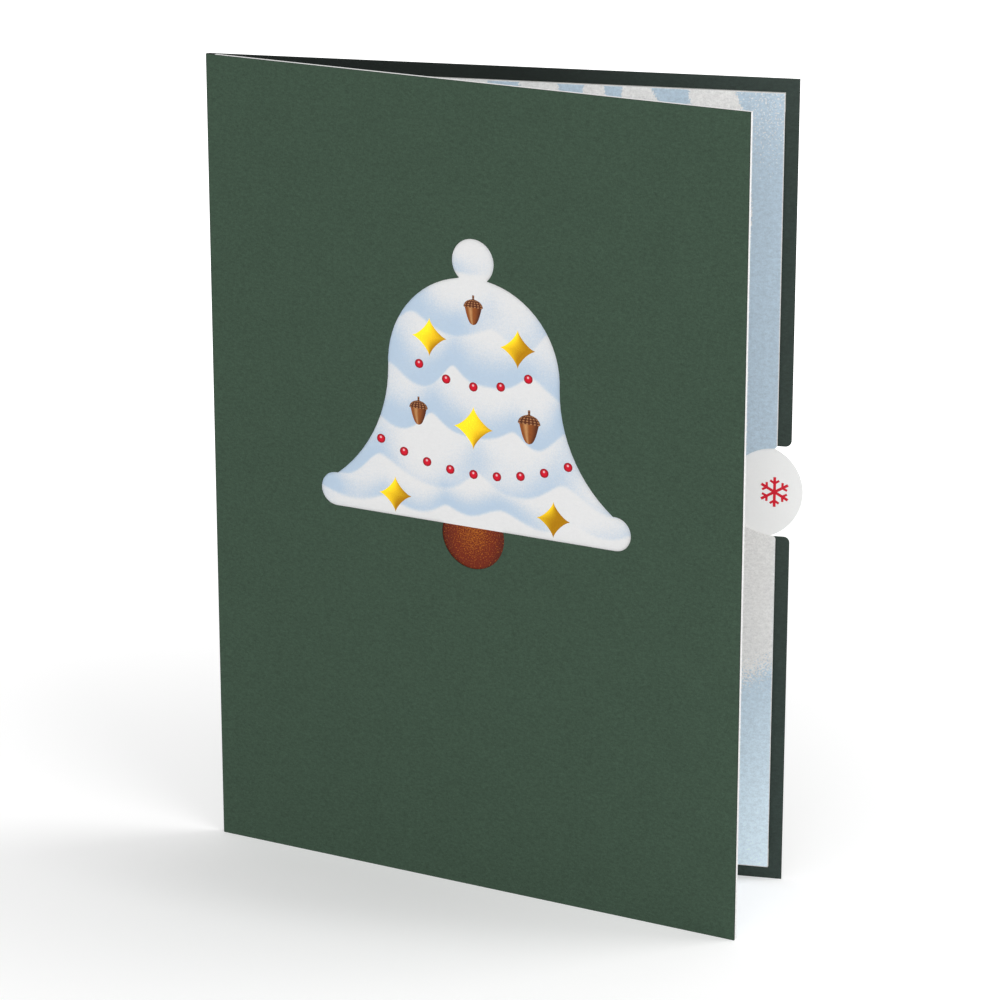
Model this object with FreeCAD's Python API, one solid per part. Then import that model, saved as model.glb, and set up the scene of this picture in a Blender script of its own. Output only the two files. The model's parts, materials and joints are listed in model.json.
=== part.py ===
import FreeCAD, Part
import math
import os
from FreeCAD import Vector

# A tall greeting card that stands on its bottom edges, a little open.
# A folded green cover with a cut-out bell, a printed liner in each half,
# a note in a pocket at the back and a slotted paper tree between the halves.
# Millimetres, Z up. The crease is upright at -X and the halves open towards +X.

# Cover
panel_width = 127.0
panel_height = 177.8
opening_angle = 15.4
cover_thickness = 0.35
fold_radius = 0.4

# Liners, and the pocket behind the back one
front_liner_start = 1.5
liner_start = 6.0
front_liner_thickness = 0.8
back_liner_thickness = 0.4
back_liner_inset = 2.9
pocket_depth = 0.5
pocket_tape_width = 4.0

# Thumb notches at the free edge of the back half
notch_height = 88.85
cover_notch_radius = 10.05
cover_notch_straight = 4.3
cover_notch_corner = 1.3
liner_notch_radius = 9.75
liner_notch_straight = 0.8
liner_notch_corner = 0.8

# Note
note_thickness = 0.3
note_side_gap = 1.5
note_end_gap = 1.0
tab_radius = 10.45
tab_centre_inset = 7.75
tab_root = 1.5

# Bell cut out of the front half
bell_centre = 64.5
bell_mouth = 82.0
bell_mouth_width = 74.5
bell_lip_height = 7.5
bell_skirt_inset = 4.2
bell_waist_width = 41.0
bell_waist_height = 33.0
bell_dome_height = 21.5
bell_knob_radius = 5.0
bell_knob_rise = 3.4
clapper_radius = 7.5
clapper_drop = 1.7

# Slotted tree
tree_distance = 35.0
tree_radius = 29.0
tree_foot = 24.0
tree_height = 126.0
tier_count = 4
tier_taper = 0.18
mound_margin = 2.0
bough_ledge = 3.5
bough_droop = 1.35
bough_points = 4
slice_thickness = 0.25
slice_pitch = 9.5
slice_neck = 8.0
slot_clearance = 0.15
bar_bottom = 12.0
glue_tab_length = 7.0
glue_tab_chamfer = 2.0
star_radius = 5.5
star_waist = 0.45
star_points = 5

# Worked out from the sizes above
opening = math.radians(opening_angle)
fold_outer_radius = fold_radius + cover_thickness
free_edge = panel_width - fold_outer_radius
cover_inner_face = -fold_radius
front_liner_face = cover_inner_face + front_liner_thickness
back_liner_back = cover_inner_face + pocket_depth
back_liner_face = back_liner_back + back_liner_thickness
back_liner_edge = free_edge - back_liner_inset
note_back = cover_inner_face + (pocket_depth - note_thickness) / 2
tab_centre = free_edge - tab_centre_inset
slot_width = slice_thickness * (1 + math.cos(opening)) / math.sin(opening) + slot_clearance
mound_radius = tree_radius + mound_margin
tier_height = tree_height / tier_count


class Plane:
    """An upright plane: s runs out from the crease, depth is square to it, towards the inside."""

    def __init__(self, run, inward, origin=Vector(0, 0, 0)):
        self.run = run
        self.inward = inward
        self.origin = origin

    def point(self, s, z, depth=0.0):
        return self.origin + self.run * s + self.inward * depth + Vector(0, 0, z)

    def shifted(self, origin):
        return Plane(self.run, self.inward, origin)

    def sheet(self, path, depth, thickness):
        """A flat sheet from a closed path. A pair is a corner, two pairs are an arc's middle and end."""
        here = self.point(*path[0], depth)
        closing = [] if path[-1][-1] == path[0] else [path[0]]
        edges = []
        for step in path[1:] + closing:
            if isinstance(step[0], tuple):
                middle, end = [self.point(*pair, depth) for pair in step]
                edges.append(Part.Arc(here, middle, end).toShape())
            else:
                end = self.point(*step, depth)
                edges.append(Part.LineSegment(here, end).toShape())
            here = end
        return Part.Face(Part.Wire(edges)).extrude(self.inward * thickness)


half = opening / 2
front = Plane(Vector(math.cos(half), -math.sin(half), 0), Vector(math.sin(half), math.cos(half), 0))
back = Plane(Vector(math.cos(half), math.sin(half), 0), Vector(math.sin(half), -math.cos(half), 0))


def rectangle(left, right, bottom, top):
    return [(left, bottom), (right, bottom), (right, top), (left, top)]


def notched_rectangle(left, right, bottom, top, radius, straight, corner):
    """A rectangle with a round-ended thumb notch in its right edge."""
    neck = right - straight
    bend = corner * (1 - math.sqrt(0.5))
    low = notch_height - radius
    high = notch_height + radius
    path = [(left, bottom), (right, bottom), (right, low - corner)]
    path.append(((right - bend, low - bend), (right - corner, low)))
    if straight > corner:
        path.append((neck, low))
    path.append(((neck - radius, notch_height), (neck, high)))
    if straight > corner:
        path.append((right - corner, high))
    path.append(((right - bend, high + bend), (right, high + corner)))
    return path + [(right, top), (left, top)]


def disc(plane, s, z, radius, depth, thickness):
    circle = Part.Circle(plane.point(s, z, depth), plane.inward, radius).toShape()
    return Part.Face(Part.Wire(circle)).extrude(plane.inward * thickness)


# Cover
def fold():
    """The crease: a ring sector that is tangent to the inside and outside of both halves."""
    inner = [plane.point(0, 0, -fold_radius) for plane in (front, back)]
    outer = [plane.point(0, 0, -fold_outer_radius) for plane in (front, back)]
    edges = [
        Part.Arc(inner[0], Vector(-fold_radius, 0, 0), inner[1]).toShape(),
        Part.LineSegment(inner[1], outer[1]).toShape(),
        Part.Arc(outer[1], Vector(-fold_outer_radius, 0, 0), outer[0]).toShape(),
        Part.LineSegment(outer[0], inner[0]).toShape(),
    ]
    return Part.Face(Part.Wire(edges)).extrude(Vector(0, 0, panel_height))


def bell_cutters():
    """Skirt and dome, lip, knob and clapper. The flare is an arc that meets the waist upright."""
    centre = bell_centre - fold_outer_radius
    depth = -fold_outer_radius - cover_thickness
    thickness = 3 * cover_thickness
    lip_top = bell_mouth + bell_lip_height
    lip_radius = bell_lip_height / 2
    lip_end = bell_mouth_width / 2 - lip_radius
    skirt = bell_mouth_width / 2 - bell_skirt_inset
    waist = bell_waist_width / 2
    waist_z = bell_mouth + bell_waist_height
    flare_in = skirt - waist
    flare_up = waist_z - lip_top
    flare_radius = (flare_in ** 2 + flare_up ** 2) / (2 * flare_in)
    flare_turn = math.asin(flare_up / flare_radius) / 2
    flare_s = waist + flare_radius * (1 - math.cos(flare_turn))
    flare_z = waist_z - flare_radius * math.sin(flare_turn)
    dome_z = waist_z + bell_dome_height
    body = [
        (centre - skirt, lip_top),
        (centre + skirt, lip_top),
        ((centre + flare_s, flare_z), (centre + waist, waist_z)),
        ((centre, dome_z), (centre - waist, waist_z)),
        ((centre - flare_s, flare_z), (centre - skirt, lip_top)),
    ]
    lip = [
        (centre - lip_end, bell_mouth),
        (centre + lip_end, bell_mouth),
        ((centre + lip_end + lip_radius, bell_mouth + lip_radius), (centre + lip_end, lip_top)),
        (centre - lip_end, lip_top),
        ((centre - lip_end - lip_radius, bell_mouth + lip_radius), (centre - lip_end, bell_mouth)),
    ]
    return [
        front.sheet(body, depth, thickness),
        front.sheet(lip, depth, thickness),
        disc(front, centre, dome_z + bell_knob_rise, bell_knob_radius, depth, thickness),
        disc(front, centre, bell_mouth - clapper_drop, clapper_radius, depth, thickness),
    ]


def cover():
    front_half = front.sheet(rectangle(0, free_edge, 0, panel_height), -fold_outer_radius, cover_thickness)
    outline = notched_rectangle(
        0, free_edge, 0, panel_height, cover_notch_radius, cover_notch_straight, cover_notch_corner)
    back_half = back.sheet(outline, -fold_outer_radius, cover_thickness)
    return front_half.cut(bell_cutters()).fuse([fold(), back_half]).removeSplitter()


# Liners, pocket and note
def front_liner():
    return front.sheet(
        rectangle(front_liner_start, free_edge, 0, panel_height), cover_inner_face, front_liner_thickness)


def back_liner():
    outline = notched_rectangle(
        liner_start, back_liner_edge, back_liner_inset, panel_height - back_liner_inset,
        liner_notch_radius, liner_notch_straight, liner_notch_corner)
    return back.sheet(outline, back_liner_back, back_liner_thickness)


def pocket_tape():
    """One strip round three sides of the pocket, open at the free edge."""
    bottom = back_liner_inset
    top = panel_height - back_liner_inset
    inner = liner_start + pocket_tape_width
    outline = [
        (liner_start, bottom),
        (back_liner_edge, bottom),
        (back_liner_edge, bottom + pocket_tape_width),
        (inner, bottom + pocket_tape_width),
        (inner, top - pocket_tape_width),
        (back_liner_edge, top - pocket_tape_width),
        (back_liner_edge, top),
        (liner_start, top),
    ]
    return back.sheet(outline, cover_inner_face, pocket_depth)


def note_card():
    """A plain sheet with a round tab that shows in the notches."""
    left = liner_start + pocket_tape_width + note_end_gap
    right = tab_centre - tab_root
    bottom = back_liner_inset + pocket_tape_width + note_side_gap
    top = panel_height - bottom
    tab_half = math.sqrt(tab_radius ** 2 - tab_root ** 2)
    outline = [
        (left, bottom),
        (right, bottom),
        (right, notch_height - tab_half),
        ((tab_centre + tab_radius, notch_height), (right, notch_height + tab_half)),
        (right, top),
        (left, top),
    ]
    return back.sheet(outline, note_back, note_thickness)


# Tree: its radius at each height, and the slices that cut through it
def tier_sizes():
    """Bottom height, bottom radius and top radius of each tier of boughs, from the ground up."""
    bottoms = [tree_radius * (1 - tier_taper * k) for k in range(tier_count)]
    tops = [radius - bough_ledge for radius in bottoms[1:]] + [0.0]
    return [(tree_foot + tier_height * k, bottoms[k], tops[k]) for k in range(tier_count)]


def bough_radius(tier, rise):
    """Radius of a tier at a share of its height: the sides hang hollow, like boughs."""
    low, high = tier[1:]
    return high + (low - high) * (1 - rise) ** bough_droop


def bough_rise(tier, radius):
    """The share of a tier's height at which it has narrowed to this radius."""
    low, high = tier[1:]
    if high >= radius:
        return 1.0
    return 1 - ((radius - high) / (low - high)) ** (1 / bough_droop)


def slice_tiers(offset):
    """The tiers that a slice keeps: it stops where its neck would be too thin."""
    kept = []
    for tier in tier_sizes():
        if tier[1] <= math.hypot(offset, slice_neck / 2):
            break
        kept.append(tier)
        if tier[2] < math.hypot(offset, slice_neck / 2):
            break
    return kept


def stretches(radius, tiers):
    """The heights between which the tree is at least this far out from its axis."""
    found = []
    if mound_radius >= radius:
        found.append([bar_bottom, tree_foot])
    for tier in tiers:
        if tier[1] <= radius:
            continue
        low = tier[0]
        high = low + tier_height * bough_rise(tier, radius)
        if found and found[-1][1] == low:
            found[-1][1] = high
        else:
            found.append([low, high])
    return found


def bough_side(offset):
    """Half-widths and heights up one side of a slice, from the ground to its tip."""
    side = [(math.sqrt(mound_radius ** 2 - offset ** 2), height) for height in (bar_bottom, tree_foot)]
    for tier in slice_tiers(offset):
        end = bough_rise(tier, abs(offset))
        for step in range(bough_points + 1):
            rise = end * step / bough_points
            reach = bough_radius(tier, rise) ** 2 - offset ** 2
            side.append((math.sqrt(max(reach, 0.0)), tier[0] + tier_height * rise))
    return side


def slice_outline(offset, tab_end):
    """The bar from its glue tab, out under the boughs, then up one side and down the other."""
    bar_top = tree_foot
    side = bough_side(offset)
    outline = [(tab_end + glue_tab_chamfer, bar_bottom)]
    outline += [(tree_distance + width, height) for width, height in side]
    if side[-1][0] < slot_clearance:
        outline[-1] = (tree_distance, side[-1][1])
        side = side[:-1]
    outline += [(tree_distance - width, height) for width, height in reversed(side[2:])]
    outline += [(tree_distance - side[1][0], bar_top), (tab_end + glue_tab_chamfer, bar_top)]
    outline += [(tab_end, bar_top - glue_tab_chamfer), (tab_end, bar_bottom + glue_tab_chamfer)]
    return outline


def folded_strip(base, sheet, fold_line, length):
    """A sheet with its glue tab folded to lie flat on the base panel, full height."""
    turn = (base.inward - sheet.inward) * (slice_thickness / 2 / (1 + math.cos(opening)))
    corner = sheet.point(fold_line, 0)
    tab_end = corner - base.run * glue_tab_length
    far_end = sheet.point(length, 0)
    tab_side = base.inward * (slice_thickness / 2)
    far_side = sheet.inward * (-slice_thickness / 2)
    points = [
        tab_end + tab_side, corner + turn, far_end + far_side,
        far_end - far_side, corner - turn, tab_end - tab_side,
    ]
    face = Part.Face(Part.makePolygon(points + points[:1]))
    return face.extrude(Vector(0, 0, panel_height))


def star(sheet):
    """A flat five-pointed star on the tip of the tree."""
    centre = tree_foot + tree_height
    path = []
    for k in range(2 * star_points):
        angle = math.pi / 2 + math.pi * k / star_points
        radius = star_radius * (star_waist if k % 2 else 1.0)
        path.append((tree_distance + radius * math.cos(angle), centre + radius * math.sin(angle)))
    return sheet.sheet(path, -slice_thickness / 2, slice_thickness)


def tree_slice(base, along, face, offset, slots_above):
    """One slice: parallel to the other half, its tab glued to this half's liner.
    Crumbs that the slots cut free at the tips of the boughs fall away."""
    sheet = along.shifted(base.run * (tree_distance + offset))
    fold_line = (face + slice_thickness / 2) / math.sin(opening)
    tab_end = fold_line - glue_tab_length * math.cos(opening)
    strip = folded_strip(base, sheet, fold_line, tree_distance + mound_radius + slot_width)
    outline = slice_outline(offset, tab_end)
    body = strip.common(sheet.sheet(outline, -tree_radius, 2 * tree_radius))
    if offset == 0 and not slots_above:
        body = body.fuse(star(sheet))
    slots = []
    for other in slice_offsets():
        slots += slots_for(sheet, offset, other, slots_above)
    body = body.cut(slots).removeSplitter()
    return max(body.Solids, key=lambda solid: solid.Volume)


def slots_for(sheet, offset, other, slots_above):
    """Half-lap slots where another slice crosses: the upper half here, the lower half there."""
    reach = math.hypot(*[max(abs(value) - slot_width / 2, 0.0) for value in (offset, other)])
    tiers = min(slice_tiers(offset), slice_tiers(other), key=len)
    middle = tree_distance + other
    slots = []
    for low, high in stretches(reach, tiers):
        half_way = (low + high) / 2
        bottom, top = (half_way, high) if slots_above else (low, half_way)
        cut = rectangle(middle - slot_width / 2, middle + slot_width / 2, bottom, top)
        slots.append(sheet.sheet(cut, -tree_radius / 2, tree_radius))
    return slots


def slice_offsets():
    each_side = int((mound_radius - slice_neck) / slice_pitch)
    return [slice_pitch * k for k in range(-each_side, each_side + 1)]


# Put the model's origin at the middle of its base
def base_shift():
    tab_tip = back.point(tab_centre + tab_radius, 0, note_back + note_thickness).x
    edge = front.point(free_edge, 0, front_liner_face).x
    return Vector((fold_outer_radius - max(tab_tip, edge)) / 2, 0, 0)


parts = {
    "cover": cover(),
    "front_liner": front_liner(),
    "back_liner": back_liner(),
    "pocket_tape": pocket_tape(),
    "note_card": note_card(),
}
for number, offset in enumerate(slice_offsets(), start=1):
    parts["back_slice_%d" % number] = tree_slice(back, front, back_liner_face, offset, True)
    parts["front_slice_%d" % number] = tree_slice(front, back, front_liner_face, offset, False)

os.makedirs("parts", exist_ok=True)
shift = base_shift()
for name, shape in parts.items():
    shape.translate(shift)
    shape.exportStep("parts/" + name + ".step")
    print(name, len(shape.Solids), round(shape.Volume, 2), shape.isValid())
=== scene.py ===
# A tall green greeting card, standing a little open on a pale floor.
# Sizes in the dictionaries are millimetres, except in the studio and its lamps. The frame is in metres.
import json
import math
import bpy
import numpy as np
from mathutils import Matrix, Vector


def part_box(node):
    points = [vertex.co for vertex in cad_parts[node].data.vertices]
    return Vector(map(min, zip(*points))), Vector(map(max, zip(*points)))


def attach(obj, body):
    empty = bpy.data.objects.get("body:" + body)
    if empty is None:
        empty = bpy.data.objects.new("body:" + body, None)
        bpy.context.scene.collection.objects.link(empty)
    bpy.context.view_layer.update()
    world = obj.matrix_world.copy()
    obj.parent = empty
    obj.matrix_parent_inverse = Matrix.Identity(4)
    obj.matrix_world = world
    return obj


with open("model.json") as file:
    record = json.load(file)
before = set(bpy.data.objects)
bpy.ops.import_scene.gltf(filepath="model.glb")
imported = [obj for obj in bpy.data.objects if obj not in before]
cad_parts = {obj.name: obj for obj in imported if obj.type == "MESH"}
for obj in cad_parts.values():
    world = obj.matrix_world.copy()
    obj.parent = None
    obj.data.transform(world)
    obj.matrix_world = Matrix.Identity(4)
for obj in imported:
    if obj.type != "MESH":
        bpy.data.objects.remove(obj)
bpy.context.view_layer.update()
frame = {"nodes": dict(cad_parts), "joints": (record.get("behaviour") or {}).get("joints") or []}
nodes = frame["nodes"]
mm = 0.001
print("frame loaded,", len(nodes), "sheets of card and paper")

# The two halves: the crease is upright, s runs out from it, depth goes into the card
card = {"foldRadius": 0.4, "coverThickness": 0.35, "panelWidth": 127.0, "panelHeight": 177.8,
        "linerInset": 2.9}
outerRadius = card["foldRadius"] + card["coverThickness"]
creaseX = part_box("cover")[0][0] / mm + outerRadius
slideAxis = next(joint["axis"] for joint in frame["joints"] if joint["name"] == "note_slide")
halfOpening = math.atan2(slideAxis[1], slideAxis[0])
freeEdge = card["panelWidth"] - outerRadius


# A point on a half: crease, plus s along the half, plus depth square to it. side is -1 front, 1 back
def onHalf(side, s, z, depth):
    x = creaseX + s * math.cos(halfOpening) + depth * math.sin(halfOpening)
    y = side * (s * math.sin(halfOpening) - depth * math.cos(halfOpening))
    return np.stack(np.broadcast_arrays(x, y, z), axis=-1) * mm


# A colour as it is read off a picture, 0 to 255, made linear
def colour(red, green, blue):
    share = np.array([red, green, blue]) / 255.0
    linear = np.where(share > 0.04045, ((share + 0.055) / 1.055) ** 2.4, share / 12.92)
    return tuple(float(value) for value in linear) + (1.0,)


# Node helpers
def addNode(tree, kind, inputs=None, **settings):
    made = tree.nodes.new(kind)
    for key, value in settings.items():
        setattr(made, key, value)
    for key, value in (inputs or {}).items():
        if isinstance(value, bpy.types.NodeSocket):
            tree.links.new(value, made.inputs[key])
        else:
            made.inputs[key].default_value = value
    return made


def sums(tree, operation, first, second=0.0):
    return addNode(tree, "ShaderNodeMath", {0: first, 1: second}, operation=operation).outputs[0]


def mixColours(tree, factor, first, second):
    made = addNode(tree, "ShaderNodeMix", {0: factor, 6: first, 7: second}, data_type="RGBA")
    return made.outputs[2]


def ease(tree, value, low, high, start=0.0, end=1.0):
    inputs = {"Value": value, "From Min": low, "From Max": high, "To Min": start, "To Max": end}
    return addNode(tree, "ShaderNodeMapRange", inputs, interpolation_type="SMOOTHSTEP").outputs[0]


# A straight ramp, held at its ends
def ramp(tree, value, low, high, start=0.0, end=1.0):
    inputs = {"Value": value, "From Min": low, "From Max": high, "To Min": start, "To Max": end}
    return addNode(tree, "ShaderNodeMapRange", inputs).outputs[0]


def separate(tree, vector):
    return addNode(tree, "ShaderNodeSeparateXYZ", {0: vector}).outputs


# Noise from nought to one. Two noises that differ in their offset have nothing to do with each other
def noise(tree, coordinate, scale, detail=2.0, roughness=0.5, offset=0.0):
    shifted = addNode(tree, "ShaderNodeVectorMath", {0: coordinate, 1: (offset,) * 3}, operation="ADD")
    inputs = {"Vector": shifted.outputs[0], "Scale": scale, "Detail": detail, "Roughness": roughness}
    return addNode(tree, "ShaderNodeTexNoise", inputs).outputs[0]


def newGroup(name, inputs, outputs):
    tree = bpy.data.node_groups.new(name, "ShaderNodeTree")
    for label, kind, default in inputs:
        socket = tree.interface.new_socket(label, in_out="INPUT", socket_type="NodeSocket" + kind)
        socket.default_value = default
    for label, kind in outputs:
        tree.interface.new_socket(label, in_out="OUTPUT", socket_type="NodeSocket" + kind)
    return tree, tree.nodes.new("NodeGroupInput").outputs, tree.nodes.new("NodeGroupOutput").inputs


noiseSpan = (0.3, 0.7)  # where nearly all values of a noise lie

# Scales are shares of the specks' own, and middle is what specks and fibres come to on average
pulp = {"fibreStretch": (0.6, 0.6, 1.0), "fibreScale": 0.5, "mottleScale": 0.03, "speckShare": 1.2,
        "middle": 1.1}


# Grain of uncoated card: fine pulp specks, short fibres and a wide, faint mottle.
# The colour is multiplied by one plus each of them times its own weight
def makeCardGrain():
    tree, given, out = newGroup(
        "cardGrain",
        [("Coordinate", "Vector", (0, 0, 0)), ("Colour", "Color", (1, 1, 1, 1)), ("Grain size", "Float", 0.3),
         ("Specks", "Float", 0.1), ("Mottle", "Float", 0.05)],
        [("Colour", "Color"), ("Height", "Float")])
    scale = sums(tree, "DIVIDE", 1.0, given["Grain size"])
    stretched = addNode(tree, "ShaderNodeVectorMath", {0: given["Coordinate"], 1: pulp["fibreStretch"]},
                        operation="MULTIPLY").outputs[0]
    fibreScale = sums(tree, "MULTIPLY", scale, pulp["fibreScale"])
    mottleScale = sums(tree, "MULTIPLY", scale, pulp["mottleScale"])
    speck = noise(tree, given["Coordinate"], scale, detail=3.0, roughness=0.6)
    fibre = noise(tree, stretched, fibreScale, offset=31.0)
    wide = noise(tree, given["Coordinate"], mottleScale, offset=57.0)
    fine = sums(tree, "ADD", sums(tree, "MULTIPLY", speck, pulp["speckShare"]), fibre)
    fine = sums(tree, "SUBTRACT", fine, pulp["middle"])
    gain = sums(tree, "ADD", 1.0, sums(tree, "MULTIPLY", fine, given["Specks"]))
    broad = sums(tree, "MULTIPLY", sums(tree, "SUBTRACT", wide, 0.5), given["Mottle"])
    gain = sums(tree, "ADD", gain, broad)
    tinted = addNode(tree, "ShaderNodeVectorMath", {0: given["Colour"], 3: gain}, operation="SCALE")
    tree.links.new(tinted.outputs[0], out["Colour"])
    tree.links.new(sums(tree, "MULTIPLY", sums(tree, "ADD", speck, fibre), 0.5), out["Height"])
    return tree


dotGain = 3.0  # how far dots of noise push a printed edge about


# Stippled edge of a printed field: a soft mask plus dots of noise, pulled back to almost black and white
def makeStipple():
    tree, given, out = newGroup(
        "printStipple",
        [("Mask", "Float", 0.5), ("Coordinate", "Vector", (0, 0, 0)), ("Dot size", "Float", 0.3),
         ("Amount", "Float", 0.6), ("Softness", "Float", 0.3)],
        [("Mask", "Float")])
    scale = sums(tree, "DIVIDE", 1.0, given["Dot size"])
    dots = noise(tree, given["Coordinate"], scale, detail=1.0, offset=11.0)
    dots = sums(tree, "MULTIPLY", sums(tree, "SUBTRACT", dots, 0.5), given["Amount"])
    mixed = sums(tree, "ADD", given["Mask"], sums(tree, "MULTIPLY", dots, dotGain))
    low = sums(tree, "SUBTRACT", 0.5, given["Softness"])
    high = sums(tree, "ADD", 0.5, given["Softness"])
    tree.links.new(ease(tree, mixed, low, high), out["Mask"])
    return tree


# The drifts: middles of blue and white by turns along the half, how fast white widens below the level, first
# slowly and then until the blue gaps close, and how far all of it strays. Pairs are a change's start and end
drifts = {"middles": (18.0, 27.5, 36.0, 44.5, 52.0, 57.0, 63.3, 71.3, 78.7, 83.0, 86.5, 91.7, 98.0, 108.5,
                      117.8),
          "level": 176.0, "edge": (0.36, 0.64), "widen": 0.2, "widenRun": 6.0, "close": 1.1, "closeRun": 60.0,
          "closeLeast": 0.2, "closeScale": 0.045, "closeAlong": (119.0, 106.0), "slant": 1.8, "slantRun": 7.0,
          "slantScale": 0.06, "sway": 3.0, "swayScale": 0.05, "wave": 40.0, "waveScale": 0.035}
haze = {"footRun": (-8.0, 8.0), "topRun": (-3.0, 3.0), "frost": 0.34, "frostUp": (142.0, 172.0),
        "frostAlong": (106.0, 120.0), "paleDown": (68.0, -4.0)}


# Winter haze printed inside the card. Drifts of white and pale blue stand side by side in the upper part.
# Their middles are places along the half, on a ramp that runs from white to blue and back, and white is where
# the ramp passes half. Downwards the ramp is raised, so that the blue gaps narrow and close, each at a height
# of its own, but not beside the free edge, and just under the top it slides one way or the other. Under the
# drifts lies a bank of white, frost gathers in the upper outer corner, and the blue gets paler downwards
def makeHaze():
    tree, given, out = newGroup(
        "printedHaze",
        [("Coordinate", "Vector", (0, 0, 0)), ("Bank low", "Float", 56.0), ("Bank high", "Float", 92.0),
         ("Drifts low", "Float", 112.0), ("Drifts along", "Float", 0.0), ("Shift", "Float", 0.0)],
        [("White", "Float"), ("Rise", "Float")])
    parts = separate(tree, given["Coordinate"])
    shifted = addNode(tree, "ShaderNodeVectorMath", {0: given["Coordinate"], 1: given["Shift"]},
                      operation="ADD").outputs[0]
    sway = sums(tree, "SUBTRACT", noise(tree, shifted, drifts["swayScale"]), 0.5)
    wave = sums(tree, "SUBTRACT", noise(tree, shifted, drifts["waveScale"], offset=23.0), 0.5)
    height = sums(tree, "ADD", parts[2], sums(tree, "MULTIPLY", wave, drifts["wave"]))
    bank = sums(tree, "MULTIPLY",
                ease(tree, sums(tree, "SUBTRACT", height, given["Bank low"]), *haze["footRun"]),
                ease(tree, sums(tree, "SUBTRACT", given["Bank high"], height), *haze["topRun"]))
    below = sums(tree, "MAXIMUM", sums(tree, "SUBTRACT", drifts["level"], parts[2]), 0.0)
    onLine = addNode(tree, "ShaderNodeCombineXYZ", {0: parts[0]}).outputs[0]
    slant = sums(tree, "SUBTRACT", noise(tree, onLine, drifts["slantScale"], detail=0.0, offset=5.0), 0.5)
    slide = sums(tree, "MULTIPLY", sums(tree, "MINIMUM", below, drifts["slantRun"]),
                 sums(tree, "MULTIPLY", slant, drifts["slant"]))
    along = sums(tree, "ADD", sums(tree, "ADD", parts[0], given["Drifts along"]), slide)
    along = sums(tree, "ADD", along, sums(tree, "MULTIPLY", sway, drifts["sway"]))
    share = ramp(tree, along, 0.0, card["panelWidth"])
    blueAndWhite = addNode(tree, "ShaderNodeValToRGB", {0: share})
    stops = blueAndWhite.color_ramp.elements
    stops[0].color = (1, 1, 1, 1)
    stops.remove(stops[1])
    for number, place in enumerate(drifts["middles"]):
        stops.new(place / card["panelWidth"]).color = (0, 0, 0, 1) if number % 2 == 0 else (1, 1, 1, 1)
    widened = ramp(tree, below, 0.0, drifts["widenRun"], 0.0, drifts["widen"])
    uneven = ease(tree, noise(tree, shifted, drifts["closeScale"], detail=1.0, offset=41.0), *noiseSpan,
                  drifts["closeLeast"], 1.0)
    closing = ramp(tree, below, drifts["widenRun"], drifts["closeRun"], 0.0, drifts["close"])
    closing = sums(tree, "MULTIPLY", sums(tree, "MULTIPLY", closing, uneven),
                   ease(tree, parts[0], *drifts["closeAlong"]))
    raised = sums(tree, "ADD", sums(tree, "ADD", blueAndWhite.outputs[0], widened), closing)
    columns = ease(tree, raised, *drifts["edge"])
    above = ease(tree, sums(tree, "SUBTRACT", height, given["Drifts low"]), *haze["footRun"])
    columns = sums(tree, "MULTIPLY", columns, above)
    frost = sums(tree, "MULTIPLY", ease(tree, parts[2], *haze["frostUp"]),
                 ease(tree, parts[0], *haze["frostAlong"]))
    columns = sums(tree, "MAXIMUM", columns, sums(tree, "MULTIPLY", frost, haze["frost"]))
    tree.links.new(sums(tree, "MAXIMUM", bank, columns), out["White"])
    tree.links.new(ease(tree, parts[2], *haze["paleDown"]), out["Rise"])
    return tree


cardGrain = makeCardGrain()
printStipple = makeStipple()
printedHaze = makeHaze()
print("shader groups ready")


# A material with its own Principled shader. Values set here are plain, patterns are linked later
def newMaterial(name, roughness=0.6, metallic=0.0, specular=0.5):
    made = bpy.data.materials.new(name)
    made.use_nodes = True
    tree = made.node_tree
    shader = tree.nodes["Principled BSDF"]
    shader.inputs["Roughness"].default_value = roughness
    shader.inputs["Metallic"].default_value = metallic
    shader.inputs["Specular IOR Level"].default_value = specular
    return made, tree, shader


def objectPlace(tree):
    return addNode(tree, "ShaderNodeTexCoord").outputs["Object"]


# Object coordinates in millimetres
def cardPlace(tree):
    inputs = {0: objectPlace(tree), 3: 1.0 / mm}
    return addNode(tree, "ShaderNodeVectorMath", inputs, operation="SCALE").outputs[0]


# Object coordinates turned into a half's own: s, depth and height, in millimetres
def halfPlace(tree, side):
    inputs = {"Vector": objectPlace(tree), "Location": (creaseX * mm, 0, 0),
              "Rotation": (0, 0, side * halfOpening), "Scale": (mm, mm, mm)}
    return addNode(tree, "ShaderNodeMapping", inputs, vector_type="TEXTURE").outputs[0]


def addGroup(tree, group, inputs):
    return addNode(tree, "ShaderNodeGroup", inputs, node_tree=group).outputs


# Grain's height as a bump of this depth, and as roughness that swings about a level
def addRelief(tree, shader, height, depth, roughness, less=0.06, more=0.06):
    bump = addNode(tree, "ShaderNodeBump", {"Height": height, "Distance": depth * mm, "Strength": 1.0})
    tree.links.new(bump.outputs[0], shader.inputs["Normal"])
    tree.links.new(ease(tree, height, *noiseSpan, roughness - less, roughness + more),
                   shader.inputs["Roughness"])


def finishStock(tree, shader, place, base, look):
    grain = addGroup(tree, cardGrain, {"Coordinate": place, "Colour": base, "Grain size": look["grainSize"],
                                       "Specks": look["specks"], "Mottle": look["mottle"]})
    tree.links.new(grain["Colour"], shader.inputs["Base Color"])
    addRelief(tree, shader, grain["Height"], look["bump"], look["roughness"])


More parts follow.
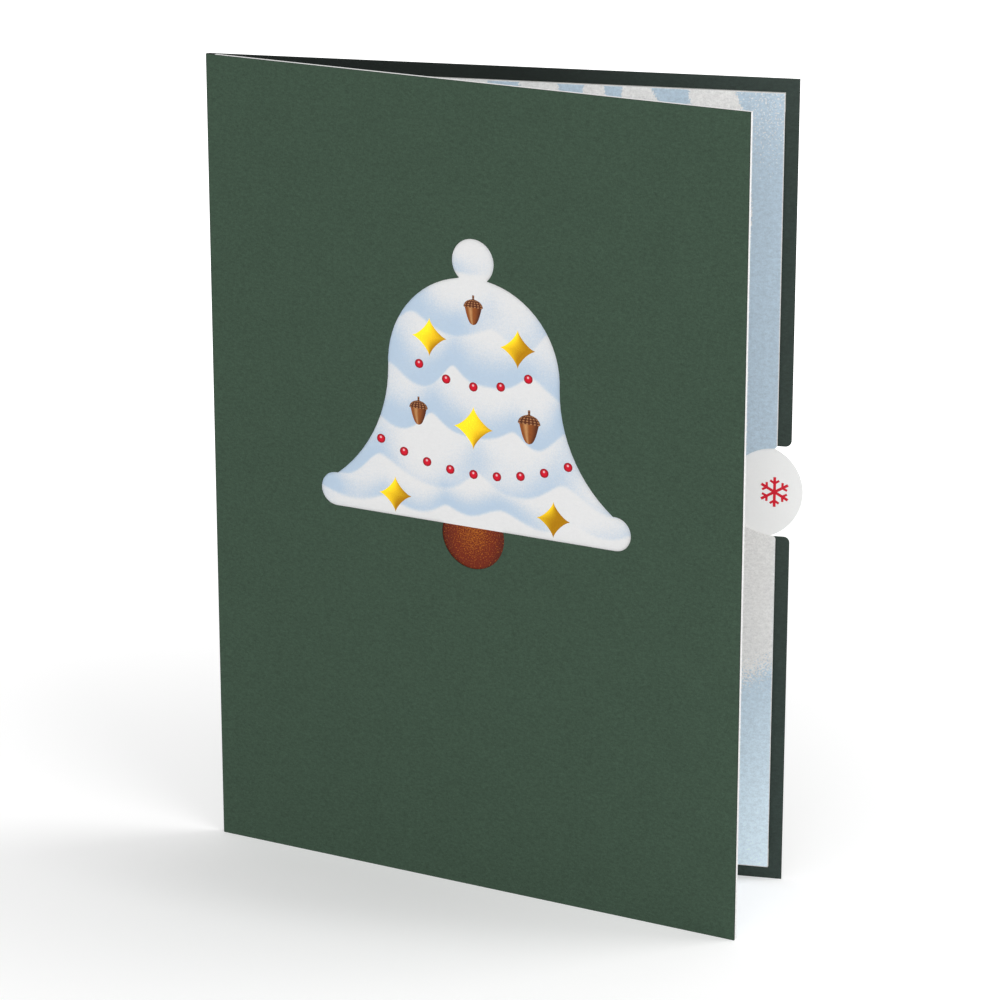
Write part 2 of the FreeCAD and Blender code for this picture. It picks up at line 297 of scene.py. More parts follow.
# The folded-in face's two colours are painted shade, greyer than the card and darkest towards the fold
greenCard = {"base": (62, 82, 67), "inside": (55, 66, 61), "insideFold": (28, 34, 31),
             "shadeRun": (60.0, 128.0), "insideDepth": (0.12, 0.3), "cutEdge": (34, 46, 38), "margin": 0.02,
             "grainSize": 0.26, "specks": 0.68, "mottle": 0.1, "roughness": 0.8, "bump": 0.02,
             "specular": 0.2}
whitePaper = {"base": (247, 247, 246), "grainSize": 0.3, "specks": 0.03, "mottle": 0.02, "roughness": 0.62,
              "bump": 0.008, "specular": 0.4}
treePaper = {"base": (238, 239, 240), "grainSize": 0.35, "specks": 0.05, "mottle": 0.03, "roughness": 0.7,
             "bump": 0.012, "specular": 0.4}
tapeFilm = {"base": (226, 225, 220), "grainSize": 0.6, "specks": 0.03, "mottle": 0.03, "roughness": 0.45,
            "bump": 0.006, "specular": 0.5}
hazePrint = {"white": (232, 231, 229), "blue": (185, 204, 219), "low": (230, 246, 255),
             "edge": (232, 232, 231), "margin": 0.14, "dotSize": 0.42, "dots": 0.5, "softness": 0.14,
             "grainSize": 0.3, "specks": 0.38, "mottle": 0.04, "roughness": 0.55, "bump": 0.006,
             "specular": 0.4}
# What tells the two liners' haze apart, in millimetres
frontHaze = {"Shift": 40.0, "Drifts along": -9.0, "Drifts low": 60.0, "Bank low": 38.0, "Bank high": 76.0}
backHaze = {"Shift": 0.0, "Drifts along": 0.0, "Drifts low": 66.0, "Bank low": 45.0, "Bank high": 84.0}


def makeStock(name, look):
    made, tree, shader = newMaterial(name, look["roughness"], specular=look["specular"])
    finishStock(tree, shader, cardPlace(tree), colour(*look["base"]), look)
    return made


# One within a margin of a sheet's free, lower and upper edges, and nought elsewhere
def nearEdges(tree, along, height, edges, margin):
    near = sums(tree, "GREATER_THAN", along, edges["right"] - margin)
    near = sums(tree, "MAXIMUM", near, sums(tree, "LESS_THAN", height, edges["bottom"] + margin))
    return sums(tree, "MAXIMUM", near, sums(tree, "GREATER_THAN", height, edges["top"] - margin))


# The cover's card has painted shade on the side that is folded in, which is darker and greyer, and the
# painted shade is darkest near the fold; the card is also darker at its cut edges. A point is inside where
# its depth in its own half is past the middle of the sheet, and the distance to the plane between the halves
# serves for both alike
def makeCoverStock(name, look, edges):
    made, tree, shader = newMaterial(name, look["roughness"], specular=look["specular"])
    place = cardPlace(tree)
    parts = separate(tree, place)
    across = sums(tree, "ABSOLUTE", parts[1])
    fromCrease = sums(tree, "SUBTRACT", parts[0], creaseX)
    along = sums(tree, "ADD", sums(tree, "MULTIPLY", fromCrease, math.cos(halfOpening)),
                 sums(tree, "MULTIPLY", across, math.sin(halfOpening)))
    depth = sums(tree, "SUBTRACT", sums(tree, "MULTIPLY", fromCrease, math.sin(halfOpening)),
                 sums(tree, "MULTIPLY", across, math.cos(halfOpening)))
    # Painted shade: the folded-in face is darker and greyer, most of all near the fold
    inside = ease(tree, sums(tree, "ADD", depth, outerRadius), *look["insideDepth"])
    shade = ease(tree, along, *look["shadeRun"])
    innerPaintedShade = mixColours(tree, shade, colour(*look["insideFold"]), colour(*look["inside"]))
    faces = mixColours(tree, inside, colour(*look["base"]), innerPaintedShade)
    cut = nearEdges(tree, along, parts[2], edges, look["margin"])
    finishStock(tree, shader, place, mixColours(tree, cut, faces, colour(*look["cutEdge"])), look)
    return made


def addStipple(tree, mask, place, look):
    inputs = {"Mask": mask, "Coordinate": place, "Dot size": look["dotSize"], "Amount": look["dots"],
              "Softness": look["softness"]}
    return addGroup(tree, printStipple, inputs)["Mask"]


# The liners: haze inside, with bare white paper at the cut edges and on a hair-thin margin beside them
def makeHazePaper(name, side, look, edges, layout):
    made, tree, shader = newMaterial(name, look["roughness"], specular=look["specular"])
    place = halfPlace(tree, side)
    field = addGroup(tree, printedHaze, {"Coordinate": place, **layout})
    dotted = addStipple(tree, field["White"], place, look)
    blue = mixColours(tree, field["Rise"], colour(*look["blue"]), colour(*look["low"]))
    printed = mixColours(tree, dotted, blue, colour(*look["white"]))
    parts = separate(tree, place)
    rim = nearEdges(tree, parts[0], parts[2], edges, look["margin"])
    printed = mixColours(tree, rim, printed, colour(*look["edge"]))
    finishStock(tree, shader, place, printed, look)
    return made


def dress(node, material):
    for slot in nodes[node].material_slots:
        slot.material = material


slottedStock = makeStock("whiteTreePaper", treePaper)
frontEdges = {"right": freeEdge, "bottom": 0.0, "top": card["panelHeight"]}
backEdges = {"right": freeEdge - card["linerInset"], "bottom": card["linerInset"],
             "top": card["panelHeight"] - card["linerInset"]}
dress("cover", makeCoverStock("greenCardStock", greenCard, frontEdges))
dress("note_card", makeStock("whiteNoteCard", whitePaper))
dress("pocket_tape", makeStock("whiteTape", tapeFilm))
dress("front_liner", makeHazePaper("frontHazePaper", -1, hazePrint, frontEdges, frontHaze))
dress("back_liner", makeHazePaper("backHazePaper", 1, hazePrint, backEdges, backHaze))
for label in nodes:
    if "_slice_" in label:
        dress(label, slottedStock)
print("paper and card finished")


# Meshes. A sheet is a grid of points and its copy, moved along one vector, with the rim closed
def gridFaces(rows, columns, start=0):
    corner = np.arange(rows * columns).reshape(rows, columns) + start
    return np.stack([corner[:-1, :-1], corner[:-1, 1:], corner[1:, 1:], corner[1:, :-1]], -1).reshape(-1, 4)


def rimFaces(rows, columns, start, count):
    corner = np.arange(rows * columns).reshape(rows, columns) + start
    loop = np.concatenate([corner[0, :-1], corner[:-1, -1], corner[-1, :0:-1], corner[:0:-1, 0]])
    following = np.roll(loop, -1)
    return np.stack([loop, loop + count, following + count, following], -1)


# Front grid, back grid and rim as one closed sheet. The front grid is the one that is seen
def slabFaces(rows, columns, start):
    count = rows * columns
    return np.concatenate([gridFaces(rows, columns, start), gridFaces(rows, columns, start + count)[:, ::-1],
                           rimFaces(rows, columns, start, count)])


def meshObject(name, points, faces, body, material, values):
    mesh = bpy.data.meshes.new(name)
    mesh.from_pydata(points.reshape(-1, 3).tolist(), [], faces.tolist())
    for label, numbers in values.items():
        attribute = mesh.attributes.new(label, "FLOAT", "POINT")
        attribute.data.foreach_set("value", np.asarray(numbers, dtype=np.float32).ravel())
    mesh.materials.append(material)
    mesh.update()
    made = bpy.data.objects.new(name, mesh)
    bpy.context.scene.collection.objects.link(made)
    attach(made, body)
    return made


leastHalfWidth = 0.02  # keeps the tips of printed shapes from closing to a point


# Flat shapes laid on a half as one mesh. Each is a stack of rows: at a height up the shape, from 0 to 1, the
# outline function gives the half-width, and the columns are spread evenly between the two edges.
# A shape is (middle along the half, lowest z, highest z, scale, tone), and values are kept for the shader:
# across from -1 to 1, along from 0 to 1, and a tone, the shape's own or what shadeOf gives at a place
def layShapes(name, shapes, outline, side, depths, rows, columns, body, material, shadeOf=None):
    points, faces, kept = [], [], {"across": [], "along": [], "tone": []}
    along = np.linspace(0, 1, rows)[:, None] + np.zeros((1, columns))
    across = np.linspace(-1, 1, columns)[None, :] + np.zeros((rows, 1))
    turned = across if side < 0 else -across
    for number, (middle, low, high, scale, tone) in enumerate(shapes):
        z = low + (high - low) * along
        x = turned * np.maximum(outline(z, along) * scale, leastHalfWidth)
        points += [onHalf(side, middle + x, z, depths[0]), onHalf(side, middle + x, z, depths[1])]
        faces.append(slabFaces(rows, columns, 2 * number * rows * columns))
        shade = np.full_like(x, tone) if shadeOf is None else shadeOf(x, z)
        for label, values in (("across", across), ("along", along), ("tone", shade)):
            kept[label] += [values.ravel(), values.ravel()]
    values = {label: np.concatenate(parts) for label, parts in kept.items()}
    return meshObject(name, np.concatenate([part.reshape(-1, 3) for part in points]), np.concatenate(faces),
                      body, material, values)


def attributeOf(tree, label):
    return addNode(tree, "ShaderNodeAttribute", attribute_name=label).outputs["Fac"]


# The bell that shows through the cut-out in the front half
bell = {"centre": 64.5, "mouth": 82.0, "mouthWidth": 74.5, "lipHeight": 7.5, "skirtInset": 4.2,
        "waistWidth": 41.0, "waistHeight": 33.0, "domeHeight": 21.5, "knobRadius": 5.0, "knobRise": 3.4,
        "clapperRadius": 7.5, "clapperDrop": 1.7, "tuck": 0.12, "proud": 0.02, "foilProud": 0.035,
        "rows": 190, "columns": 230}
bellCentre = bell["centre"] - outerRadius
lipTop = bell["mouth"] + bell["lipHeight"]
waistZ = bell["mouth"] + bell["waistHeight"]
domeZ = waistZ + bell["domeHeight"]
knobZ = domeZ + bell["knobRise"]
bellTop = knobZ + bell["knobRadius"]
clapperZ = bell["mouth"] - bell["clapperDrop"]
linerFace = -card["foldRadius"]
printDepths = (linerFace - bell["proud"], linerFace + bell["proud"])
foilDepths = (linerFace - bell["foilProud"], linerFace)


def chord(radius, offset):
    return np.sqrt(np.clip(radius ** 2 - offset ** 2, 0, None))


# Half-width at each height: a round-ended lip, a skirt that flares on an arc, a round dome and a knob
def bellHalfWidth(height, along):
    z = np.clip(height, bell["mouth"], bellTop)
    waist = bell["waistWidth"] / 2
    lipRadius = bell["lipHeight"] / 2
    flareIn = bell["mouthWidth"] / 2 - bell["skirtInset"] - waist
    flareUp = waistZ - lipTop
    flareRadius = (flareIn ** 2 + flareUp ** 2) / (2 * flareIn)
    domeRadius = (waist ** 2 + bell["domeHeight"] ** 2) / (2 * bell["domeHeight"])
    lip = bell["mouthWidth"] / 2 - lipRadius + chord(lipRadius, z - bell["mouth"] - lipRadius)
    skirt = waist + flareRadius - chord(flareRadius, waistZ - z)
    dome = chord(domeRadius, z - domeZ + domeRadius)
    parts = np.where(z <= lipTop, lip, np.where(z <= waistZ, skirt, np.where(z <= domeZ, dome, 0)))
    return np.maximum(parts, chord(bell["knobRadius"], z - knobZ)) + bell["tuck"]


# Snow painted on the bell, layer by layer from the top: the height at which each ends, and how wide its lobes
# are, how far they sag and how far up its blue reaches. stray is how far the waves push lobes along and up.
# Seeds tell the waves apart
snow = {"rows": (137.5, 128.0, 118.0, 107.0, 95.5, 86.0), "lobeWidths": (9.0, 15.0, 18.0, 16.0, 21.0, 15.0),
        "sags": (1.6, 4.2, 5.6, 5.0, 5.6, 2.6), "fades": (3.8, 6.4, 8.0, 7.5, 7.5, 4.0), "stray": (4.0, 1.8),
        "stagger": 0.37, "edgeSoftness": 0.9, "hides": 2.0, "roundness": 0.24, "patch": (0.85, 0.9),
        "sideFrom": 0.5, "sideShade": 0.5, "sideLevel": 0.5, "swaySeeds": 1.7, "patchSeed": 5.0,
        "patchSeeds": 0.9, "sideSeed": 2.0, "white": (241, 241, 241), "blue": (194, 214, 234),
        "dotSize": 0.26, "dots": 0.16, "softness": 0.48, "roughness": 0.5, "specular": 0.25,
        "grainSize": 0.3, "specks": 0.06, "mottle": 0.02, "bump": 0.005}
waves = {"count": 5, "turn": 2.4, "coarsest": 0.1, "finer": 0.065, "shift": 3.0, "height": 2.3, "flat": 0.4}


# A sum of sine waves, each headed another way from the last, finer and lower than it
def slowWaves(x, z, seed):
    total = np.zeros_like(x)
    for number in range(1, waves["count"] + 1):
        angle = seed + number * waves["turn"]
        run = x * math.cos(angle) + z * math.sin(angle)
        total += np.sin(run * (waves["coarsest"] + waves["finer"] * number) + angle * waves["shift"]) / number
    return total / waves["height"]


# A layer ends below in a row of round lobes, the size of a cosine. The blue is deepest just above that edge,
# fades upwards like a bell curve, in patches, and hides what the layer above left there. Blue also gathers
# towards the bell's two sides, as the square of the distance
def snowShade(x, z):
    shade = np.zeros_like(x)
    for number, height in enumerate(snow["rows"]):
        sway = slowWaves(x, z * waves["flat"], number * snow["swaySeeds"])
        across = (x + sway * snow["stray"][0]) / snow["lobeWidths"][number] + snow["stagger"] * number
        lobe = np.sqrt(np.cos(math.pi * across) ** 2 + snow["roundness"] ** 2)
        above = z - height + snow["sags"][number] * lobe - sway * snow["stray"][1]
        step = np.clip(above / snow["edgeSoftness"] + 0.5, 0, 1)
        patches = slowWaves(x, z, snow["patchSeed"] + number * snow["patchSeeds"])
        patch = np.clip(snow["patch"][0] + snow["patch"][1] * patches, 0, 1)
        fade = np.exp(-(np.clip(above, 0, None) / snow["fades"][number]) ** 2)
        shade = shade * (1 - step * (above < snow["hides"])) + step * patch * fade
    outward = (np.abs(x) / bellHalfWidth(z, 0) - snow["sideFrom"]) / (1 - snow["sideFrom"])
    uneven = snow["sideLevel"] + slowWaves(x, z, snow["sideSeed"])
    sides = np.clip(outward, 0, 1) ** 2 * snow["sideShade"] * uneven
    return np.clip(shade + sides, 0, 1)


def makeSnowPrint():
    made, tree, shader = newMaterial("snowPrint", snow["roughness"], specular=snow["specular"])
    place = halfPlace(tree, -1)
    dotted = addStipple(tree, attributeOf(tree, "tone"), place, snow)
    printed = mixColours(tree, dotted, colour(*snow["white"]), colour(*snow["blue"]))
    finishStock(tree, shader, place, printed, snow)
    return made


layShapes("bellPicture", [(bellCentre, bell["mouth"], bellTop + bell["tuck"], 1.0, 0.0)], bellHalfWidth, -1,
          printDepths, bell["rows"], bell["columns"], "card", makeSnowPrint(), snowShade)


# The clapper under the bell's mouth: reddish brown with rusty gold speckles, brightest high in the middle
clapper = {"base": (112, 34, 10), "dark": (78, 20, 8), "speck": (186, 104, 26), "speckSize": 0.3,
           "speckRange": (0.54, 0.76), "middle": 0.12, "middleAcross": (0.9, 0.1), "middleUp": (0.0, 0.8),
           "rim": 0.7, "rimAcross": (0.55, 1.0), "roughness": 0.5, "specular": 0.2, "rows": 40, "columns": 60,
           "grainSize": 0.3, "specks": 0.2, "mottle": 0.1, "bump": 0.006}


# Half-width of a disc at each height
def clapperHalfWidth(z, along):
    return chord(bell["clapperRadius"], z - clapperZ) + bell["tuck"]


def makeClapperPrint():
    made, tree, shader = newMaterial("rustyClapperPrint", clapper["roughness"], specular=clapper["specular"])
    place = halfPlace(tree, -1)
    across = sums(tree, "ABSOLUTE", attributeOf(tree, "across"))
    middle = sums(tree, "MULTIPLY", ease(tree, across, *clapper["middleAcross"]),
                  ease(tree, attributeOf(tree, "along"), *clapper["middleUp"]))
    fine = noise(tree, place, 1.0 / clapper["speckSize"], roughness=0.6, offset=7.0)
    fine = sums(tree, "ADD", fine, sums(tree, "MULTIPLY", middle, clapper["middle"]))
    speck = ease(tree, fine, *clapper["speckRange"])
    rim = ease(tree, across, *clapper["rimAcross"], 0.0, clapper["rim"])
    base = mixColours(tree, rim, colour(*clapper["base"]), colour(*clapper["dark"]))
    finishStock(tree, shader, place, mixColours(tree, speck, base, colour(*clapper["speck"])), clapper)
    return made


clapperLow = clapperZ - bell["clapperRadius"] - bell["tuck"] / 2
layShapes("bellClapper", [(bellCentre, clapperLow, bell["mouth"], 1.0, 0.0)], clapperHalfWidth, -1,
          printDepths, clapper["rows"], clapper["columns"], "card", makeClapperPrint())
print("bell and clapper printed")

# Four-pointed sparkles in gold foil: place from the bell's middle, z, reach, and how dimmed its painted
# reflection is, 0 to 1
foil = {"sparkles": ((-10.5, 122.5, 4.1, 0.25), (10.5, 122.5, 4.1, 0.75), (0.0, 104.0, 4.6, 0.0),
                     (-19.0, 86.6, 3.9, 0.5), (19.0, 86.6, 3.9, 1.0)),
        # The two golds are the lit and the shaded ends of a painted reflection
        "pinch": 0.75, "paintedLitGold": (255, 214, 42), "paintedShadedGold": (164, 116, 22), "paintedShine": (-0.35, 0.75),
        "slope": 0.45, "paintedDimming": 0.7, "roughness": 0.3, "specular": 0.5, "brushSize": 0.5, "brush": 0.12,
        "bump": 0.004, "rows": 33, "columns": 17}


# Half-width of a sparkle at a height: a circle's formula with the pinch as its power, so its sides curve in
def sparkleHalfWidth(z, along):
    up = np.abs(2 * along - 1)
    return np.clip(1 - up ** foil["pinch"], 0, None) ** (1 / foil["pinch"])


def makeFoil():
    made, tree, shader = newMaterial("goldFoil", foil["roughness"], 1.0, foil["specular"])
    place = halfPlace(tree, -1)
    # Painted reflection: the gold runs from shaded to lit across each sparkle and is dimmed on some sparkles,
    # on top of the metal's own reflection of the studio
    across = attributeOf(tree, "across")
    paintedShine = sums(tree, "SUBTRACT", attributeOf(tree, "along"), sums(tree, "MULTIPLY", across, foil["slope"]))
    paintedShine = sums(tree, "SUBTRACT", paintedShine, sums(tree, "MULTIPLY", attributeOf(tree, "tone"), foil["paintedDimming"]))
    streak = noise(tree, place, 1.0 / foil["brushSize"], detail=3.0, roughness=0.6, offset=3.0)
    brushed = sums(tree, "MULTIPLY", sums(tree, "SUBTRACT", streak, 0.5), foil["brush"])
    paintedShine = ease(tree, sums(tree, "ADD", paintedShine, brushed), *foil["paintedShine"])
    gold = mixColours(tree, paintedShine, colour(*foil["paintedShadedGold"]), colour(*foil["paintedLitGold"]))
    tree.links.new(gold, shader.inputs["Base Color"])
    addRelief(tree, shader, streak, foil["bump"], foil["roughness"], more=0.08)
    return made


layShapes("goldSparkles", [(bellCentre + x, z - reach, z + reach, reach, tone)
                           for x, z, reach, tone in foil["sparkles"]],
          sparkleHalfWidth, -1, foilDepths, foil["rows"], foil["columns"], "card",
          makeFoil())


# Red beads hung in two swags. A swag is its count of beads, how far its ends are from the bell's middle,
# their height, and its sag
beads = {"radius": 1.02, "swags": ((5, 13.0, 116.4, 3.4), (9, 22.4, 98.6, 4.8)), "red": (222, 14, 44),
         "rim": (150, 4, 24), "rimFrom": 0.45, "glint": (255, 214, 220), "glintAt": (-0.05, 0.3, 0.0),
         "glintRun": (0.34, 0.12), "glintShare": 0.85, "roughness": 0.45, "specular": 0.2, "rows": 15,
         "columns": 15, "grainSize": 0.2, "specks": 0.1, "mottle": 0.05, "bump": 0.003}


# Half-width of a disc with a radius of one
def roundHalfWidth(z, along):
    return chord(1.0, 2 * along - 1)


def makeBeadPrint():
    made, tree, shader = newMaterial("redBeadPrint", beads["roughness"], specular=beads["specular"])
    place = halfPlace(tree, -1)
    up = sums(tree, "SUBTRACT", sums(tree, "MULTIPLY", attributeOf(tree, "along"), 2.0), 1.0)
    left = sums(tree, "SUBTRACT", 1.0, sums(tree, "MULTIPLY", up, up))
    wide = sums(tree, "SQRT", sums(tree, "MAXIMUM", left, 0.0))
    aside = sums(tree, "MULTIPLY", attributeOf(tree, "across"), wide)
    offset = addNode(tree, "ShaderNodeCombineXYZ", {0: aside, 1: up}).outputs[0]
    fromMiddle = addNode(tree, "ShaderNodeVectorMath", {0: offset}, operation="LENGTH").outputs["Value"]
    toGlint = addNode(tree, "ShaderNodeVectorMath", {0: offset, 1: beads["glintAt"]}, operation="DISTANCE")
    rim = ease(tree, fromMiddle, beads["rimFrom"], 1.0)
    body = mixColours(tree, rim, colour(*beads["red"]), colour(*beads["rim"]))
    glint = ease(tree, toGlint.outputs["Value"], *beads["glintRun"], 0.0, beads["glintShare"])
    finishStock(tree, shader, place, mixColours(tree, glint, body, colour(*beads["glint"])), beads)
    return made


# A swag's beads are evenly spaced along the half, and hang on a parabola
def beadPlaces():
    places = []
    for count, end, high, sag in beads["swags"]:
        for x in np.linspace(-end, end, count):
            z = high - sag * (1 - (x / end) ** 2)
            places.append((bellCentre + x, z - beads["radius"], z + beads["radius"], beads["radius"], 0.0))
    return places


layShapes("redBeads", beadPlaces(), roundHalfWidth, -1, foilDepths, beads["rows"], beads["columns"], "card",
          makeBeadPrint())


# Acorns: a pointed nut under a scaly cap. Place from the bell's middle, z and height of each, and then shares
# of the height and the full width
acorns = {"places": ((0.0, 129.6, 6.4), (-13.2, 106.0, 6.2), (13.2, 106.0, 7.4)), "width": 0.72,
          "nutTop": 0.58, "nutWidth": 0.43, "swell": 0.42, "capTop": 0.86, "capWidth": 0.5, "stalkFrom": 0.8,
          "stalkWidth": 0.05, "nut": (150, 82, 34), "nutLight": (214, 160, 104), "nutDark": (84, 36, 14),
          "lightAt": -0.35, "lightRun": (0.4, 0.0), "lightShare": 0.75, "darkRun": (0.1, 1.0),
          "cap": (92, 44, 20), "capLight": (196, 138, 90), "scalesAcross": 9.0, "scalesUp": 42.0,
          "scaleEdge": (0.1, 0.6), "scaleShare": 0.8, "roughness": 0.5, "specular": 0.2, "rows": 31,
          "columns": 21, "grainSize": 0.25, "specks": 0.3, "mottle": 0.1, "bump": 0.004}


# Half-width for a height of one: the nut swells from its point as a power of the height, the cap is a quarter
# of a circle each side, and the stalk stands on it
def acornHalfWidth(z, along):
    nutTop = acorns["nutTop"]
    nut = acorns["nutWidth"] * np.clip(along / nutTop, 0, 1) ** acorns["swell"]
    cap = acorns["capWidth"] * chord(1.0, np.clip((along - nutTop) / (acorns["capTop"] - nutTop), 0, 1))
    stalk = np.where(along > acorns["stalkFrom"], acorns["stalkWidth"], 0.0)
    return np.maximum(np.where(along < nutTop, nut, cap), stalk)


def makeAcornPrint():
    made, tree, shader = newMaterial("acornPrint", acorns["roughness"], specular=acorns["specular"])
    place = halfPlace(tree, -1)
    across = attributeOf(tree, "across")
    along = attributeOf(tree, "along")
    fromLight = sums(tree, "ABSOLUTE", sums(tree, "SUBTRACT", across, acorns["lightAt"]))
    light = ease(tree, fromLight, *acorns["lightRun"], 0.0, acorns["lightShare"])
    dark = ease(tree, across, *acorns["darkRun"])
    nut = mixColours(tree, dark, colour(*acorns["nut"]), colour(*acorns["nutDark"]))
    nut = mixColours(tree, light, nut, colour(*acorns["nutLight"]))
    scaleAcross = sums(tree, "MULTIPLY", across, acorns["scalesAcross"])
    scaleUp = sums(tree, "MULTIPLY", along, acorns["scalesUp"])
    rising = sums(tree, "SINE", sums(tree, "ADD", scaleAcross, scaleUp))
    falling = sums(tree, "SINE", sums(tree, "SUBTRACT", scaleAcross, scaleUp))
    scales = sums(tree, "MULTIPLY", rising, falling)
    scales = ease(tree, scales, *acorns["scaleEdge"], 0.0, acorns["scaleShare"])
    cap = mixColours(tree, scales, colour(*acorns["cap"]), colour(*acorns["capLight"]))
    painted = mixColours(tree, sums(tree, "GREATER_THAN", along, acorns["nutTop"]), nut, cap)
    finishStock(tree, shader, place, painted, acorns)
    return made


layShapes("acorns", [(bellCentre + x, z - size / 2, z + size / 2, size * acorns["width"], 0.0)
                     for x, z, size in acorns["places"]],
          acornHalfWidth, -1, foilDepths, acorns["rows"], acorns["columns"], "card",
          makeAcornPrint())
print("sparkles, beads and acorns laid on the bell")


# A small red snow crystal on the note's pull tab: six arms, each with a pair of twigs. arm and twig are
# half-widths, turns are degrees, and twigAt is a share of the reach
crystal = {"along": 122.9, "height": 88.85, "firstTurn": 30.0, "reach": 3.3, "arm": 0.3, "twigAt": 0.58,
           "twigReach": 1.15, "twigTurn": 57.3, "twig": 0.25, "lift": 0.012, "layer": 0.005,
           "red": (214, 10, 42), "roughness": 0.45, "specular": 0.3, "grainSize": 0.25, "specks": 0.14,
           "mottle": 0.08, "bump": 0.004}


# Bars as closed boxes: each runs from one point to another with a half-width, and all corners are worked out
# together. Three bars cross in the middle, each a layer higher than the last, and the twigs lie lowest
def makeCrystal():
    made, tree, shader = newMaterial("redCrystalPrint", crystal["roughness"], specular=crystal["specular"])
    finishStock(tree, shader, halfPlace(tree, 1), colour(*crystal["red"]), crystal)
    turns = np.arange(0, 360, 60) + crystal["firstTurn"]
    bends = (0, -crystal["twigTurn"], crystal["twigTurn"])
    heading, *twigs = [np.stack([np.cos(turn), np.sin(turn)], -1)
                       for turn in np.radians([turns + bend for bend in bends])]
    knots = heading * crystal["reach"] * crystal["twigAt"]
    arms = heading[:3] * crystal["reach"]
    starts = np.concatenate([-arms, knots, knots])
    ends = np.concatenate([arms] + [knots + twig * crystal["twigReach"] for twig in twigs])
    halves = np.repeat([crystal["arm"], crystal["twig"]], [3, 12])[:, None]
    lifts = crystal["lift"] + crystal["layer"] * np.repeat([1, 2, 3, 0], [1, 1, 1, 12])[:, None]
    run = (ends - starts) / np.linalg.norm(ends - starts, axis=1, keepdims=True)
    aside = np.stack([-run[:, 1], run[:, 0]], -1) * halves
    flat = np.stack([starts - aside, starts + aside, ends - aside, ends + aside], 1)
    s = crystal["along"] + flat[..., 0]
    z = crystal["height"] + flat[..., 1]
    points = np.concatenate([onHalf(1, s, z, lifts), onHalf(1, s, z, -lifts)], 1)
    faces = np.concatenate([slabFaces(2, 2, start) for start in range(0, 8 * len(flat), 8)])
    return meshObject("tabCrystal", points, faces, "note", made, {})


makeCrystal()
print("snow crystal printed on the tab")

# Camera: from the right of the front, looking a little down
camera = {"azimuth": 20.4, "elevation": 17.64, "distance": 822.0, "aim": (2.23, 0.0, 85.76),
          "focalPixels": 3849.0, "framePixels": 1000.0, "sensor": 36.0, "clipStart": 0.01}


def makeCamera():
    azimuth = math.radians(camera["azimuth"])
    elevation = math.radians(camera["elevation"])
    level = math.cos(elevation)
    backwards = Vector((math.sin(azimuth) * level, -math.cos(azimuth) * level, math.sin(elevation)))
    data = bpy.data.cameras.new("cardCamera")
    data.sensor_width = camera["sensor"]
    data.lens = camera["focalPixels"] / camera["framePixels"] * camera["sensor"]
    data.clip_start = camera["clipStart"]
    made = bpy.data.objects.new("cardCamera", data)
    made.location = (Vector(camera["aim"]) + backwards * camera["distance"]) * mm
    made.rotation_euler = backwards.to_track_quat("Z", "Y").to_euler()
    bpy.context.scene.collection.objects.link(made)
    bpy.context.scene.camera = made


# Studio, in metres: a pale floor without a horizon, three large soft lamps and an even sky. Only the camera
# sees the floor glow, more far away than near the card, and less in a patch in front of the fold, a painted
# shadow where the card's shadow is deepest. A lamp's heading is degrees from the right of the picture towards
# the viewer
studio = {"floorSize": 6.0, "floorDrop": 0.00002, "floor": 0.83, "glowRun": (0.04, 0.5), "glow": (0.285, 0.9),
          "paintedShadowAt": (-0.035, -0.02, 0.0), "paintedShadowSize": (0.045, 0.015, 1.0), "paintedShadowRun": (2.0, 0.3),
          "paintedShadowDim": 0.09, "sky": 0.5}
lamps = {
    "lampRight": {"heading": -4.0, "height": 42.0, "distance": 1.4, "size": 0.7, "watts": 5.6},
    "lampRightFront": {"heading": 50.0, "height": 25.0, "distance": 1.4, "size": 0.9, "watts": 6.2},
    "lampFront": {"heading": 105.0, "height": 20.0, "distance": 2.0, "size": 1.5, "watts": 9.6},
}


# One for a ray that comes from the camera, straight or through a gloss or glass, and nought for light itself
def seenRays(tree):
    rays = addNode(tree, "ShaderNodeLightPath").outputs
    through = sums(tree, "MAXIMUM", rays["Is Glossy Ray"], rays["Is Transmission Ray"])
    return sums(tree, "MAXIMUM", rays["Is Camera Ray"], through)


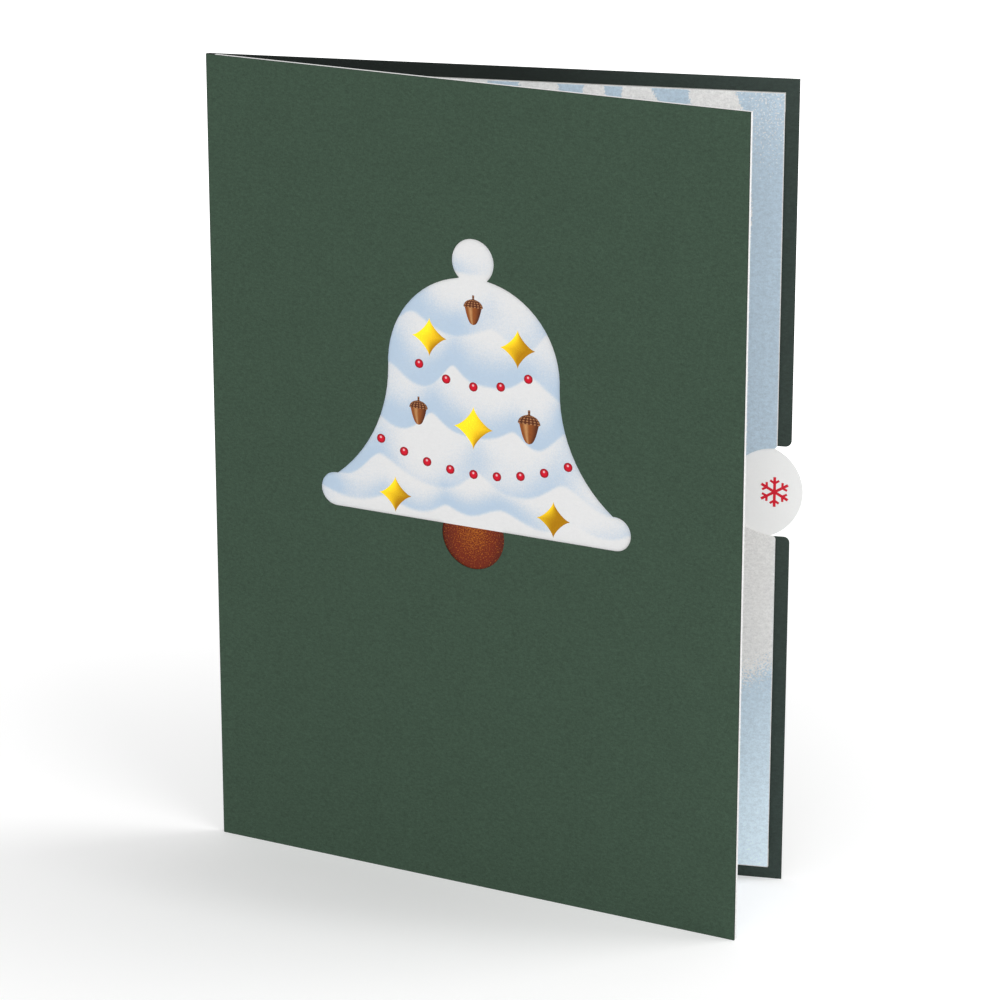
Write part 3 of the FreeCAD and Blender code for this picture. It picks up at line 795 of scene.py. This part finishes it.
def makeFloor():
    made, tree, shader = newMaterial("studioFloor", 1.0, specular=0.0)
    shader.inputs["Base Color"].default_value = (studio["floor"],) * 3 + (1.0,)
    place = objectPlace(tree)
    away = addNode(tree, "ShaderNodeVectorMath", {0: place}, operation="LENGTH").outputs["Value"]
    inputs = {"Vector": place, "Location": studio["paintedShadowAt"], "Scale": studio["paintedShadowSize"]}
    patch = addNode(tree, "ShaderNodeMapping", inputs, vector_type="TEXTURE").outputs[0]
    fromPaintedShadow = addNode(tree, "ShaderNodeVectorMath", {0: patch}, operation="LENGTH").outputs["Value"]
    # Less glow in the patch in front of the fold: a painted shadow on the floor
    glow = sums(tree, "SUBTRACT", ease(tree, away, *studio["glowRun"], *studio["glow"]),
                ease(tree, fromPaintedShadow, *studio["paintedShadowRun"], 0.0, studio["paintedShadowDim"]))
    shader.inputs["Emission Color"].default_value = (1, 1, 1, 1)
    tree.links.new(sums(tree, "MULTIPLY", seenRays(tree), glow), shader.inputs["Emission Strength"])
    edge = np.linspace(-studio["floorSize"] / 2, studio["floorSize"] / 2, 3)
    x, y = np.meshgrid(edge, edge)
    points = np.stack([x, y, np.full_like(x, -studio["floorDrop"])], -1)
    mesh = bpy.data.meshes.new("studioFloor")
    mesh.from_pydata(points.reshape(-1, 3).tolist(), [], gridFaces(3, 3).tolist())
    mesh.materials.append(made)
    floor = bpy.data.objects.new("studioFloor", mesh)
    bpy.context.scene.collection.objects.link(floor)


def makeSky():
    world = bpy.data.worlds.new("studioSky")
    bpy.context.scene.world = world
    world.use_nodes = True
    tree = world.node_tree
    background = tree.nodes["Background"]
    background.inputs["Color"].default_value = (1, 1, 1, 1)
    tree.links.new(ramp(tree, seenRays(tree), 0.0, 1.0, studio["sky"], 1.0), background.inputs["Strength"])


def makeLamps():
    aim = Vector(camera["aim"]) * mm
    for name, lamp in lamps.items():
        data = bpy.data.lights.new(name, "AREA")
        data.shape = "DISK"
        data.size = lamp["size"]
        data.energy = lamp["watts"]
        made = bpy.data.objects.new(name, data)
        turn = math.radians(camera["azimuth"] - lamp["heading"])
        height = math.radians(lamp["height"])
        level = math.cos(height)
        away = Vector((math.cos(turn) * level, math.sin(turn) * level, math.sin(height)))
        made.location = aim + away * lamp["distance"]
        made.rotation_euler = away.to_track_quat("Z", "Y").to_euler()
        bpy.context.scene.collection.objects.link(made)


makeCamera()
makeFloor()
makeSky()
makeLamps()
bpy.context.scene.view_settings.view_transform = "Standard"
print("camera, floor and lamps set")
